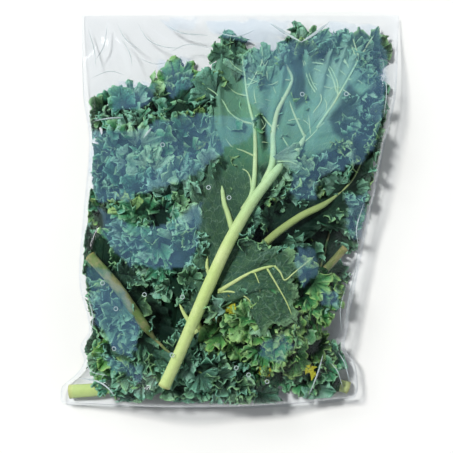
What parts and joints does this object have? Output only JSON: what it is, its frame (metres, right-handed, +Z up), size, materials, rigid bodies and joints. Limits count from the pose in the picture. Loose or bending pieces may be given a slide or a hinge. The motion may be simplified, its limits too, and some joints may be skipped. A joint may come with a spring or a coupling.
{
  "type": "bagged kale bunch",
  "caption": "Bunch of curly kale leaves with thick pale stalks, packed in a clear, open-mouthed produce bag lying on its back.",
  "frame": {"origin": "on the surface, under the middle of the bag's bounding box", "axes": "+X to the bag's right seen from above, +Y towards its open mouth and the leaf tips, +Z up"},
  "size_m": [0.34, 0.395, 0.074],
  "materials": {
    "kale_upper": "matt, slightly waxy leaf",
    "kale_back": "matt blue-green leaf back",
    "kale_stalk": "smooth, moist, pale stalk",
    "bag_film": "clear thin film"
  },
  "bodies": {
    "root": {"bag": "bag_film", "low_left_blade": "kale_upper", "low_left_stalk": "kale_stalk", "low_right_blade": "kale_upper", "low_right_stalk": "kale_stalk", "back_right_blade": "kale_back", "back_right_stalk": "kale_stalk", "back_left_blade": "kale_upper", "back_left_stalk": "kale_stalk", "back_middle_blade": "kale_upper", "back_middle_stalk": "kale_stalk", "corner_left_blade": "kale_upper", "corner_left_stalk": "kale_stalk", "corner_right_blade": "kale_upper", "corner_right_stalk": "kale_stalk", "left_curls_blade": "kale_upper", "left_curls_stalk": "kale_stalk", "right_arch_blade": "kale_back", "right_arch_stalk": "kale_stalk", "right_curls_blade": "kale_upper", "right_curls_stalk": "kale_stalk", "left_slant_blade": "kale_back", "left_slant_stalk": "kale_stalk", "front_blade": "kale_back", "front_stalk": "kale_stalk"}
  },
  "joints": []
}
